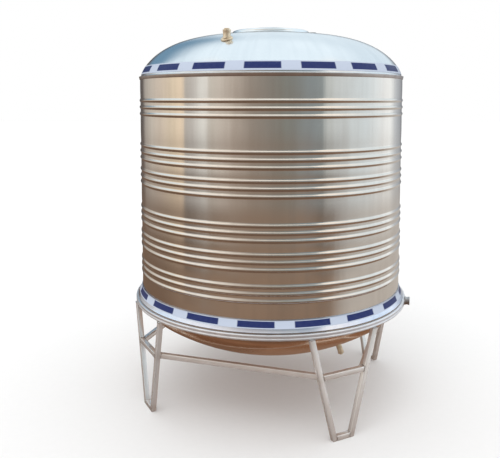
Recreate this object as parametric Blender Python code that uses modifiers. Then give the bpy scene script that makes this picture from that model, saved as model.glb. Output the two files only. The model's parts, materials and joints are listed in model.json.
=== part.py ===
# Stainless steel water tank: a ribbed barrel with a domed roof, a hinged manhole lid and a dished
# bottom, held in a flared collar on a ring and four V-shaped legs of square tube.
# Metres, +Z up. The origin is on the tank's axis at ground level; the hasp is on the +X side.
# Plan angles are measured from the front (-Y) and are positive towards +X.
import math

import bmesh
import bpy
from mathutils import Matrix, Vector

# Round sheets are faceted. FACET is the radius of a facet's middle over that of its corners.
SIDES = 40
FACET = math.cos(math.pi / SIDES)
SMALL_SIDES = 24
GAP = 0.0003
SHEET = 0.003
ACROSS = Vector((0.0, 1.0, 0.0))
UP = Vector((0.0, 0.0, 1.0))

# Barrel
SHELL_RADIUS = 0.710
SHELL_WALL = 0.004
SEAM_HEIGHT = 1.727
BEAD_GROUPS = (0.158, 0.390, 0.521, 0.723, 0.858, 1.004)
BEAD_PITCH = 0.035
BEAD_HALF = 0.0115
BEAD_CREST = 0.0044
BEAD_DEPTH = 0.005

# Roof
ROOF_RADIUS = 0.706
ROOF_RISE = 0.230
ROOF_FLATNESS = 3.6
ROOF_FULLNESS = 1.5
ROOF_RINGS = 10
ROOF_SKIRT = math.radians(84.5)
SEAM_RADIUS = 0.7160
SEAM_DEPTH = 0.014
SEAM_FOLD = 0.0015
FILM = 0.001
FILM_GAP = 0.0005
ROOF_FILM = (0.010, 0.056)

# Manhole and lid
MANHOLE_RADIUS = 0.187
NECK_RADIUS = 0.195
NECK_FOOT = 0.201
LID_RADIUS = 0.209
LID_CREST = 0.269
LID_FALL = 0.0156
LID_ROLL = 0.0035
LID_SKIRT = 0.0140

# Hinge of the lid, on the -X side
HINGE_X = -0.229
HINGE_Z = SEAM_HEIGHT + 0.2434
PIN_RADIUS = 0.004
PIN_HEAD_RADIUS = 0.0065
KNUCKLE_RADIUS = 0.008
KNUCKLE_HALF = 0.018
TONGUE_HALF = (0.0162, 0.0036)
EYE_RADIUS = 0.009
EAR_POST_HALF = 0.00864
EAR_THICKNESS = 0.005
EAR_GAP = 0.0015
BRACKET_INNER = -0.221
BRACKET_OUTER = -0.255

# Hasp of the lid, on the +X side
HASP_Z = SEAM_HEIGHT + 0.2450
HASP_HOLE_X = 0.236
HASP_HOLE = 0.005
HASP_END = 0.014
HASP_THICKNESS = 0.004
LUG_INNER = 0.222
LUG_OUTER = 0.257
LUG_WIDTH = 0.026
LUG_CLEARANCE = 0.0052

# Stand: ring and collar, the collar as (radius, height) from its top
RING_BOTTOM = 0.516
RING_TOP = 0.545
RING_RADIUS = 0.747
RING_INSIDE = 0.719
RING_BEND = 0.005
RING_CHAMFER = 0.0015
COLLAR_TOP = 0.606
COLLAR = ((0.7132, COLLAR_TOP), (0.7160, 0.592), (0.7215, 0.577), (0.7290, 0.563), (0.7380, 0.5502))
COLLAR_SHEET = 0.0025
COLLAR_FILM = (0.5675, 0.5945)

# Dished bottom
DISH_RADIUS = 0.700
DISH_DEPTH = 0.300
DISH_KNUCKLE = 0.120
DISH_TOP = 0.537
DISH_FLANGE = 0.741
DISH_LIP = (0.701, 0.704)

# Stand: legs and braces
LEG_ANGLES = (29.0, 119.0, 209.0, 299.0)
LEG_PLANE = 0.716
LEG_TUBE = 0.025
LEG_TOP_HALF = 0.178
LEG_FOOT_HALF = 0.046
CROSSBAR_HEIGHT = 0.322
BRACE_HALF = 0.118

# Fittings
INLET_ANGLE = -22.5
INLET_REACH = 0.540
INLET_FLANGE = (0.0285, 0.007)
INLET_SOCKET = (0.0195, 0.045)
INLET_PLUG = (0.0175, 0.053)
OUTLET_ANGLE = 76.5
OUTLET_HEIGHT = 0.5305
OUTLET_END = 0.772
OUTLET_PIPE_RADIUS = 0.0105
OUTLET_SOCKET_RADIUS = 0.0215
OUTLET_BORE_RADIUS = 0.0165
OUTLET_BORE_START = 0.005
DRAIN_ANGLE = 58.5
DRAIN_REACH = 0.425
DRAIN_SOCKET = (0.016, 0.064)
DRAIN_PLUG = (0.012, 0.073)

# Colour, roughness and metallic value of each finish
FINISHES = {
    "shell": ((0.62, 0.56, 0.50), 0.30, 1.0),
    "roof": ((0.66, 0.72, 0.78), 0.28, 1.0),
    "collar": ((0.60, 0.66, 0.74), 0.32, 1.0),
    "dish": ((0.48, 0.38, 0.30), 0.35, 1.0),
    "tube": ((0.60, 0.58, 0.57), 0.38, 1.0),
    "film": ((0.86, 0.88, 0.92), 0.45, 0.0),
    "brass": ((0.72, 0.60, 0.42), 0.35, 1.0),
}


def clear_scene():
    for old in list(bpy.data.objects):
        bpy.data.objects.remove(old, do_unlink=True)


def new_collection(name):
    made = bpy.data.collections.new(name)
    bpy.context.scene.collection.children.link(made)
    return made


clear_scene()
TANK = new_collection("water_tank")
CUTTERS = new_collection("cutters")
CUTTERS.hide_render = True


def finish_material(name, finish):
    colour, roughness, metallic = FINISHES[finish]
    made = bpy.data.materials.new(name)
    made.use_nodes = True
    shader = made.node_tree.nodes["Principled BSDF"]
    shader.inputs["Base Color"].default_value = (*colour, 1.0)
    shader.inputs["Roughness"].default_value = roughness
    shader.inputs["Metallic"].default_value = metallic
    made.diffuse_color = (*colour, 1.0)
    return made


def add(name, mesh, finish):
    made = bpy.data.objects.new(name, mesh)
    TANK.objects.link(made)
    made.data.materials.append(finish_material(name + "_finish", finish))
    return made


def turned(name, profile, finish, thickness=0.0):
    # Profile points are (radius, height) and run down the outer side. With a thickness the profile
    # is an open sheet; without one it is a closed outline.
    mesh = bpy.data.meshes.new(name)
    count = len(profile)
    links = [(i, i + 1) for i in range(count - 1)]
    if thickness == 0.0:
        links.append((count - 1, 0))
    mesh.from_pydata([(r, 0.0, z) for r, z in profile], links, [])
    made = add(name, mesh, finish)
    screw = made.modifiers.new("turn", "SCREW")
    screw.axis = "Z"
    screw.angle = math.tau
    screw.steps = SIDES
    screw.render_steps = SIDES
    screw.use_merge_vertices = True
    screw.merge_threshold = 0.00005
    screw.use_smooth_shade = True
    if thickness > 0.0:
        wall = made.modifiers.new("sheet", "SOLIDIFY")
        wall.thickness = thickness
        wall.offset = -1.0
        wall.use_even_offset = True
    return made


def box_mesh(name, low, high):
    low = Vector(low)
    high = Vector(high)
    mesh = bpy.data.meshes.new(name)
    work = bmesh.new()
    place = Matrix.Translation((low + high) / 2) @ Matrix.Diagonal((*(high - low), 1.0))
    bmesh.ops.create_cube(work, size=1.0, matrix=place)
    work.to_mesh(mesh)
    work.free()
    return mesh


def cylinder_mesh(name, radius, length, centre, axis, sides=SMALL_SIDES):
    # A closed cylinder whose middle is at centre, along axis.
    mesh = bpy.data.meshes.new(name)
    work = bmesh.new()
    turn = axis.to_track_quat("Z", "Y").to_matrix().to_4x4()
    bmesh.ops.create_cone(
        work, cap_ends=True, segments=sides, radius1=radius, radius2=radius, depth=length,
        matrix=Matrix.Translation(centre) @ turn,
    )
    work.to_mesh(mesh)
    work.free()
    return mesh


def with_shapes(made, meshes, operation):
    # Adds or cuts each mesh with an exact Boolean.
    for number, mesh in enumerate(meshes):
        tool = bpy.data.objects.new(made.name + "_" + operation.lower() + str(number), mesh)
        CUTTERS.objects.link(tool)
        tool.hide_render = True
        tool.display_type = "WIRE"
        step = made.modifiers.new(tool.name, "BOOLEAN")
        step.operation = operation
        step.solver = "EXACT"
        step.object = tool


def at_angle(angle, reach, height):
    turn = math.radians(angle)
    return Vector((reach * math.sin(turn), -reach * math.cos(turn), height))


def read_off(points, place):
    # The second value where the first one is place, along a chain of straight stretches.
    for (near, start), (far, end) in zip(points, points[1:]):
        if min(near, far) <= place <= max(near, far):
            return start + (end - start) * (place - near) / (far - near)
    raise ValueError("the place is off the outline")


def outward_fall(points, place):
    # How far the outline falls for each metre outwards.
    step = 0.001
    return (read_off(points, place - step) - read_off(points, place + step)) / (2 * step)


def barrel():
    top = SEAM_HEIGHT - GAP
    bottom = RING_TOP + SHEET + 2 * GAP
    outline = [(SHELL_RADIUS, top)]
    for group in BEAD_GROUPS:
        for place in (-1, 0, 1):
            middle = SEAM_HEIGHT - group - place * BEAD_PITCH
            for drop, stand in ((BEAD_HALF, 0.0), (BEAD_CREST, 1.0), (-BEAD_CREST, 1.0)):
                outline.append((SHELL_RADIUS + stand * BEAD_DEPTH, middle + drop))
            outline.append((SHELL_RADIUS, middle - BEAD_HALF))
    outline.append((SHELL_RADIUS, bottom))
    outline.append((SHELL_RADIUS - SHELL_WALL, bottom))
    outline.append((SHELL_RADIUS - SHELL_WALL, top))
    turned("shell_wall", outline, "shell")


def roof_height(radius):
    share = (radius / ROOF_RADIUS) ** ROOF_FLATNESS
    return SEAM_HEIGHT + ROOF_RISE * (1.0 - share) ** (1.0 / ROOF_FULLNESS)


def roof_radius(rise):
    share = (rise / ROOF_RISE) ** ROOF_FULLNESS
    return ROOF_RADIUS * (1.0 - share) ** (1.0 / ROOF_FLATNESS)


def roof_outline():
    start = math.asin((MANHOLE_RADIUS / ROOF_RADIUS) ** (ROOF_FLATNESS / 2))
    outline = []
    for step in range(ROOF_RINGS + 1):
        turn = start + (ROOF_SKIRT - start) * step / ROOF_RINGS
        radius = ROOF_RADIUS * math.sin(turn) ** (2 / ROOF_FLATNESS)
        outline.append((radius, roof_height(radius)))
    outline.append((ROOF_RADIUS, SEAM_HEIGHT + SHEET + GAP))
    outline.append((SEAM_RADIUS, SEAM_HEIGHT + SHEET))
    return outline


def on_roof(radius):
    return read_off(roof_outline(), radius) + GAP


def roof():
    turned("roof_dome", roof_outline(), "roof", SHEET)

    inner = SHELL_RADIUS + GAP
    top = SEAM_HEIGHT - 2 * GAP
    low = top - SEAM_DEPTH
    turned("roof_rim", [
        (SEAM_RADIUS - SEAM_FOLD, top), (SEAM_RADIUS, top - SEAM_FOLD),
        (SEAM_RADIUS, low + SEAM_FOLD), (SEAM_RADIUS - SEAM_FOLD, low), (inner, low), (inner, top),
    ], "shell")


def roof_film():
    low, high = ROOF_FILM
    stretches = 4
    stand = FILM + FILM_GAP
    outline = []
    for step in range(stretches + 1):
        rise = high + (low - high) * step / stretches
        lean = math.atan((roof_radius(rise - FILM_GAP) - roof_radius(rise + FILM_GAP)) / (2 * FILM_GAP))
        height = SEAM_HEIGHT + rise + stand * math.sin(lean)
        outline.append((roof_radius(rise) + stand * math.cos(lean), height))
    turned("roof_tape", outline, "film", FILM)


def lid_height(radius):
    return SEAM_HEIGHT + LID_CREST - LID_FALL * (radius / LID_RADIUS) ** 2


def manhole():
    neck_inner = NECK_RADIUS - SHELL_WALL
    neck_top = lid_height(NECK_RADIUS) - SHEET - 2 * GAP
    turned("manhole_neck", [
        (NECK_RADIUS, neck_top),
        (NECK_RADIUS, on_roof(NECK_RADIUS) + SHEET),
        (NECK_FOOT, on_roof(NECK_FOOT) + SHEET),
        (NECK_FOOT, on_roof(NECK_FOOT)),
        (neck_inner, on_roof(neck_inner)),
        (neck_inner, neck_top),
    ], "roof")

    stretches = 4
    outline = []
    for step in range(stretches + 1):
        radius = NECK_RADIUS * step / stretches
        outline.append((radius, lid_height(radius)))
    edge = lid_height(LID_RADIUS)
    outline.append((LID_RADIUS - SHEET, edge - SHEET / 2))
    outline.append((LID_RADIUS, edge - 2 * SHEET))
    outline.append((LID_RADIUS, edge - LID_SKIRT))
    outline.append((LID_RADIUS + LID_ROLL, edge - LID_SKIRT - SHEET))
    outline.append((LID_RADIUS + LID_ROLL, edge - LID_SKIRT - 2 * SHEET))
    turned("manhole_lid", outline, "roof", SHEET)


def hinge():
    axis_point = Vector((HINGE_X, 0.0, HINGE_Z))
    ear_inner = KNUCKLE_HALF + EAR_GAP
    ear_outer = ear_inner + EAR_THICKNESS
    ear_middle = (ear_inner + ear_outer) / 2
    plate_half = ear_outer + 2 * SHEET
    plate_low = on_roof(-BRACKET_INNER)
    plate_high = plate_low + SHEET

    bracket = add("lid_hinge_bracket", box_mesh(
        "lid_hinge_bracket", (BRACKET_OUTER, -plate_half, plate_low),
        (BRACKET_INNER, plate_half, plate_high)), "tube")
    shapes = []
    for side in (-1, 1):
        middle = axis_point + ACROSS * side * ear_middle
        half = Vector((EAR_POST_HALF, EAR_THICKNESS / 2, 0.0))
        foot = Vector((middle.x, middle.y, plate_low + SHEET / 2))
        shapes.append(box_mesh("ear_post", foot - half, middle + half))
        shapes.append(cylinder_mesh("ear_eye", EYE_RADIUS, EAR_THICKNESS, middle, ACROSS))
    with_shapes(bracket, shapes, "UNION")
    length = 4 * ear_outer
    bore = cylinder_mesh("ear_bore", PIN_RADIUS + GAP, length, axis_point, ACROSS)
    with_shapes(bracket, [bore], "DIFFERENCE")

    pin = add("lid_hinge_pin", cylinder_mesh(
        "lid_hinge_pin", PIN_RADIUS, 2 * (ear_outer + GAP + SHEET / 2), axis_point, ACROSS), "tube")
    heads = []
    for side in (-1, 1):
        place = axis_point + ACROSS * side * (ear_outer + GAP + SHEET / 2)
        heads.append(cylinder_mesh("pin_head", PIN_HEAD_RADIUS, SHEET, place, ACROSS))
    with_shapes(pin, heads, "UNION")

    knuckle = add("lid_hinge_knuckle", cylinder_mesh(
        "lid_hinge_knuckle", KNUCKLE_RADIUS, 2 * KNUCKLE_HALF, axis_point, ACROSS), "tube")
    tongue = Vector((0.0, *TONGUE_HALF))
    end = Vector((-LID_RADIUS - GAP, 0.0, HINGE_Z))
    with_shapes(knuckle, [box_mesh("tongue", axis_point - tongue, end + tongue)], "UNION")
    bore = cylinder_mesh("knuckle_bore", PIN_RADIUS + 2 * GAP, length, axis_point, ACROSS)
    with_shapes(knuckle, [bore], "DIFFERENCE")


def hasp():
    hole = Vector((HASP_HOLE_X, 0.0, HASP_Z))
    half = Vector((0.0, HASP_END, HASP_THICKNESS / 2))
    start = Vector((LID_RADIUS + GAP, 0.0, HASP_Z))
    tongue = add("lid_hasp", box_mesh("lid_hasp", start - half, hole + half), "tube")
    with_shapes(tongue, [cylinder_mesh("hasp_end", HASP_END, HASP_THICKNESS, hole, UP)], "UNION")
    bore = cylinder_mesh("hasp_hole", HASP_HOLE, 4 * HASP_THICKNESS, hole, UP)
    with_shapes(tongue, [bore], "DIFFERENCE")

    side = LUG_WIDTH / 2
    low = on_roof(LUG_INNER)
    high = HASP_Z - HASP_THICKNESS / 2 - LUG_CLEARANCE
    lug = add("hasp_lug", box_mesh(
        "hasp_lug", (LUG_INNER, -side, low), (LUG_OUTER, side, low + SHEET)), "tube")
    with_shapes(lug, [
        box_mesh("lug_web", (LUG_OUTER - SHEET, -side, low), (LUG_OUTER, side, high)),
        box_mesh("lug_top", (LUG_INNER, -side, high - SHEET), (LUG_OUTER, side, high)),
    ], "UNION")
    bore = cylinder_mesh("lug_hole", HASP_HOLE, 3 * SHEET, Vector((HASP_HOLE_X, 0.0, high)), UP)
    with_shapes(lug, [bore], "DIFFERENCE")


def hang_lid():
    pivot = bpy.data.objects.new("lid_pivot", None)
    TANK.objects.link(pivot)
    pivot.location = (HINGE_X, 0.0, HINGE_Z)
    for name in ("manhole_lid", "lid_hinge_knuckle", "lid_hasp"):
        piece = bpy.data.objects[name]
        piece.parent = pivot
        piece.location = -pivot.location


def stub(name, start, axis, near, far, radius, finish, sides=SMALL_SIDES):
    # A short round piece between two distances from start along axis.
    middle = Vector((0.0, 0.0, 0.0))
    made = add(name, cylinder_mesh(name, radius, far - near, middle, UP, sides), finish)
    made.location = start + axis * (near + far) / 2
    made.rotation_euler = axis.to_track_quat("Z", "Y").to_euler()
    return made


def square_to(outline, angle, reach, side):
    # A point on a turned sheet, on a facet's middle line, and the direction that stands square on it.
    foot = at_angle(angle, reach * FACET, read_off(outline, reach))
    fall = outward_fall(outline, reach) / FACET
    return foot, (at_angle(angle, 1.0, 0.0) * fall + UP).normalized() * side


def inlet():
    # The pad lies square on the sloping roof. The socket and its plug stand upright on the pad.
    foot, axis = square_to(roof_outline(), INLET_ANGLE, INLET_REACH, 1.0)
    radius, thickness = INLET_FLANGE
    stub("inlet_flange", foot, axis, GAP, thickness, radius, "brass")
    radius, height = INLET_SOCKET
    pad = foot + axis * (thickness + GAP)
    socket = stub("inlet_socket", foot, UP, 0.0, height, radius, "brass")
    turn = socket.rotation_euler.to_matrix()
    for point in socket.data.vertices:
        if point.co.z < 0.0:
            place = socket.location + turn @ point.co
            point.co.z -= (place - pad).dot(axis) / axis.z
    radius, top = INLET_PLUG
    stub("inlet_plug", foot, UP, height + GAP, top, radius, "brass", 6)


def drain():
    foot, axis = square_to(dish_outline(), DRAIN_ANGLE, DRAIN_REACH, -1.0)
    radius, height = DRAIN_SOCKET
    stub("drain_socket", foot, axis, GAP, height, radius, "brass")
    radius, top = DRAIN_PLUG
    stub("drain_plug", foot, axis, height + GAP, top, radius, "brass", 6)


def outlet():
    # The pipe leaves the foot of the tank and passes out through the ring's web.
    axis = at_angle(OUTLET_ANGLE, 1.0, 0.0)
    centre = UP * OUTLET_HEIGHT
    inside = DISH_LIP[0] * FACET + 2 * GAP
    web = RING_RADIUS * FACET + GAP
    stub("outlet_pipe", centre, axis, inside, web, OUTLET_PIPE_RADIUS, "tube")
    socket = stub("outlet_socket", centre, axis, web + GAP, OUTLET_END, OUTLET_SOCKET_RADIUS, "tube", 32)
    start = web + OUTLET_BORE_START
    length = 2 * (OUTLET_END - start)
    bore = cylinder_mesh("outlet_bore", OUTLET_BORE_RADIUS, length, centre + axis * OUTLET_END, axis)
    with_shapes(socket, [bore], "DIFFERENCE")
    middle = centre + axis * RING_RADIUS
    length = RING_RADIUS - RING_INSIDE
    return cylinder_mesh("ring_hole", OUTLET_PIPE_RADIUS + 2 * GAP, length, middle, axis)


def dish_crown():
    side = DISH_RADIUS - DISH_KNUCKLE
    return (side ** 2 + DISH_DEPTH ** 2 - DISH_KNUCKLE ** 2) / (2 * (DISH_DEPTH - DISH_KNUCKLE))


def dish_outline():
    crown = dish_crown()
    side = DISH_RADIUS - DISH_KNUCKLE
    blend = math.atan2(side, crown - DISH_DEPTH)
    flange = RING_TOP + GAP
    outline = [(DISH_FLANGE, flange), (DISH_LIP[1], flange), (DISH_LIP[0], flange - SHEET)]
    knuckle_stretches = 4
    for step in range(knuckle_stretches + 1):
        turn = (math.pi / 2 - blend) * step / knuckle_stretches
        radius = side + DISH_KNUCKLE * math.cos(turn)
        outline.append((radius, DISH_TOP - DISH_KNUCKLE * math.sin(turn)))
    crown_stretches = 5
    for step in range(1, crown_stretches + 1):
        turn = blend * (1.0 - step / crown_stretches)
        outline.append((crown * math.sin(turn), DISH_TOP - DISH_DEPTH + crown * (1.0 - math.cos(turn))))
    return outline


def dish():
    turned("bottom_dish", dish_outline(), "dish", SHEET)


def collar():
    turned("stand_collar", list(COLLAR), "collar", COLLAR_SHEET)

    low, high = COLLAR_FILM
    flare = [(height, radius) for radius, height in COLLAR]
    outline = [(read_off(flare, high), high)]
    outline += [point for point in COLLAR if low < point[1] < high]
    outline.append((read_off(flare, low), low))
    stand = FILM + FILM_GAP
    turned("collar_tape", [(radius + stand, height) for radius, height in outline], "film", FILM)


def ring(hole):
    # A channel rolled into a ring, open towards the tank.
    cut = RING_CHAMFER
    made = turned("stand_ring", [
        (RING_INSIDE, RING_TOP), (RING_RADIUS - RING_BEND, RING_TOP),
        (RING_RADIUS - cut, RING_TOP - cut), (RING_RADIUS, RING_TOP - RING_BEND),
        (RING_RADIUS, RING_BOTTOM + RING_BEND), (RING_RADIUS - cut, RING_BOTTOM + cut),
        (RING_RADIUS - RING_BEND, RING_BOTTOM), (RING_INSIDE, RING_BOTTOM),
    ], "collar", SHEET)
    with_shapes(made, [hole], "DIFFERENCE")


def bar(name, angle, corner):
    # A square tube at the front, made from a cube whose corners go where corner() puts them,
    # and then turned to its plan angle.
    work = bmesh.new()
    bmesh.ops.create_cube(work, size=2.0)
    for point in work.verts:
        point.co = corner(*point.co)
    work.normal_update()
    bmesh.ops.recalc_face_normals(work, faces=work.faces)
    mesh = bpy.data.meshes.new(name)
    work.to_mesh(mesh)
    work.free()
    made = add(name, mesh, "tube")
    made.rotation_euler.z = math.radians(angle)


def leg(number, angle):
    top = RING_BOTTOM - GAP
    half = LEG_TUBE / 2
    lean = (LEG_TOP_HALF - LEG_FOOT_HALF) / top
    slant = half * math.sqrt(1.0 + lean ** 2)
    name = "leg_" + str(number)
    for side, word in ((-1, "_left"), (1, "_right")):
        def member(x, y, z):
            reach = LEG_TOP_HALF if z > 0 else LEG_FOOT_HALF
            return side * reach + x * slant, -LEG_PLANE + y * half, top if z > 0 else 0.0
        bar(name + word, angle, member)
    for word, middle in (("_foot", half), ("_crossbar", CROSSBAR_HEIGHT)):
        def between(x, y, z):
            height = middle + z * half
            reach = LEG_FOOT_HALF + lean * height - slant - GAP
            return x * reach, -LEG_PLANE + y * half, height
        bar(name + word, angle, between)


def brace(number, angle):
    # A level tube from the back of this leg's right side to the back of the next leg's left side.
    back = LEG_PLANE - LEG_TUBE / 2 - GAP
    half = LEG_TUBE / math.sqrt(2.0)

    def corner(x, y, z):
        height = CROSSBAR_HEIGHT + z * LEG_TUBE / 2
        shift = BRACE_HALF + y * half
        if x < 0:
            return shift, -back, height
        return back, -shift, height

    bar("brace_" + str(number), angle, corner)


barrel()
roof()
roof_film()
manhole()
hinge()
hasp()
hang_lid()
inlet()
dish()
drain()
collar()
ring(outlet())
for leg_number, leg_angle in enumerate(LEG_ANGLES, 1):
    leg(leg_number, leg_angle)
    brace(leg_number, leg_angle)
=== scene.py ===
import json
import math

import bpy
from mathutils import Euler, Matrix, Vector


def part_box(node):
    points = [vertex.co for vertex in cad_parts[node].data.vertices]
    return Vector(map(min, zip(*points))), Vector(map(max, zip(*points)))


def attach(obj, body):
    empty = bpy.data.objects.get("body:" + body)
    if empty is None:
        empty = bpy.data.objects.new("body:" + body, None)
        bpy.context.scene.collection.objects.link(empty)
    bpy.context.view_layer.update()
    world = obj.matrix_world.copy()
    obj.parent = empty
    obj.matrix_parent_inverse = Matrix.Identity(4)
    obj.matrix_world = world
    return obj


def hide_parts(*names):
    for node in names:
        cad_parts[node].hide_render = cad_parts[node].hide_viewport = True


# The finished look of a stainless steel water tank on its stand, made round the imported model.
# Metres, +Z up. Plan angles are in degrees from the front (-Y), positive towards +X.

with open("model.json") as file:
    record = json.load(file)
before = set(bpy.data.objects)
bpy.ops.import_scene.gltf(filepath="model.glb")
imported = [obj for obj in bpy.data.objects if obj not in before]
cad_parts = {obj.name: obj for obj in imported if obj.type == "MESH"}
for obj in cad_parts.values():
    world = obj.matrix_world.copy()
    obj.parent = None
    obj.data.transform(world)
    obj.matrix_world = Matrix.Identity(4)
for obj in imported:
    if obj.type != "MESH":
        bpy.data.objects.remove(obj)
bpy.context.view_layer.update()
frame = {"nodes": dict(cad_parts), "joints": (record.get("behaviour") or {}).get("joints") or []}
print("frame loaded:", len(frame["nodes"]), "nodes")

camera = {
    "place": (0.0, -3.5357, 1.6099),
    "pitchDown": 5.02,
    "yawLeft": 1.828,
    "lens": 45.706,
    "sensor": 36,
    "shiftDown": 0.148,
}


def makeCamera():
    bpy.ops.object.camera_add(location=camera["place"])
    made = bpy.context.active_object
    pitch, yaw = math.radians(90 - camera["pitchDown"]), math.radians(camera["yawLeft"])
    made.rotation_euler = (pitch, 0, yaw)
    made.data.sensor_width = camera["sensor"]
    made.data.lens = camera["lens"]
    made.data.shift_y = -camera["shiftDown"]
    bpy.context.scene.camera = made


makeCamera()
print("camera placed")


class Signal:
    def __init__(self, tree, socket=None):
        self.tree = tree
        self.socket = socket

    def node(self, kind, settings=None, sockets=None, out=0):
        made = self.tree.nodes.new(kind)
        for key, value in (settings or {}).items():
            setattr(made, key, value)
        for key, value in (sockets or {}).items():
            self.feed(made.inputs[key], value)
        return Signal(self.tree, made.outputs[out])

    def feed(self, target, value):
        if isinstance(value, Signal):
            self.tree.links.new(value.socket, target)
        elif isinstance(value, tuple) and len(value) == 3 and target.type == "RGBA":
            target.default_value = (*value, 1)
        else:
            target.default_value = value

    def out(self, name):
        return Signal(self.tree, self.socket.node.outputs[name])

    def maths(self, operation, *values):
        sockets = dict(enumerate((self, *values)))
        return self.node("ShaderNodeMath", {"operation": operation}, sockets)

    def reversed(self, operation, value):
        return self.node("ShaderNodeMath", {"operation": operation}, {0: value, 1: self})

    def __add__(self, other):
        return self.maths("ADD", other)

    def __radd__(self, other):
        return self.reversed("ADD", other)

    def __sub__(self, other):
        return self.maths("SUBTRACT", other)

    def __rsub__(self, other):
        return self.reversed("SUBTRACT", other)

    def __mul__(self, other):
        return self.maths("MULTIPLY", other)

    def __rmul__(self, other):
        return self.reversed("MULTIPLY", other)

    def __truediv__(self, other):
        return self.maths("DIVIDE", other)

    def step(self, low, high):
        # a soft step from 0 at low to 1 at high
        return self.node(
            "ShaderNodeMapRange", {"interpolation_type": "SMOOTHSTEP"},
            {"Value": self, "From Min": low, "From Max": high})

    def mix(self, first, second):
        # self is the share of the second colour
        settings = {"data_type": "RGBA"}
        return self.node("ShaderNodeMix", settings, {0: self, 6: first, 7: second}, out=2)

    def ramp(self, table):
        made = self.node("ShaderNodeValToRGB", None, {0: self})
        stops = made.socket.node.color_ramp.elements
        stops.remove(stops[1])
        for index, (place, colour) in enumerate(table):
            stop = stops.new(place) if index else stops[0]
            stop.position = place
            stop.color = (*colour, 1)
        return made

    def vector(self, operation, *values, out=0):
        sockets = dict(enumerate((self, *values)))
        return self.node("ShaderNodeVectorMath", {"operation": operation}, sockets, out)

    def stretched(self, scale):
        return self.vector("MULTIPLY", scale)

    def noise(self, size, detail=3.0, roughness=0.5):
        return self.node(
            "ShaderNodeTexNoise", {"noise_dimensions": "3D"},
            {"Vector": self, "Scale": size, "Detail": detail, "Roughness": roughness})

    def planAngle(self):
        # the plan angle of a vector, in degrees
        split = self.node("ShaderNodeSeparateXYZ", None, {0: self})
        return split.out("X").maths("ARCTAN2", split.out("Y") * -1.0) * (180.0 / math.pi)

    def part(self, letter):
        return self.node("ShaderNodeSeparateXYZ", None, {0: self}).out(letter)


def newMaterial(name):
    made = bpy.data.materials.new(name)
    made.use_nodes = True
    tree = made.node_tree
    shader = tree.nodes["Principled BSDF"]
    place = Signal(tree).node("ShaderNodeTexCoord", out="Object")
    return made, shader, place


def bumped(place, shader, heights):
    # heights are (signal, distance in metres, strength), the finest first
    last = None
    for height, distance, strength in heights:
        sockets = {"Height": height, "Distance": distance, "Strength": strength}
        if last is not None:
            sockets["Normal"] = last
        last = place.node("ShaderNodeBump", None, sockets)
    place.feed(shader.inputs["Normal"], last)


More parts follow.
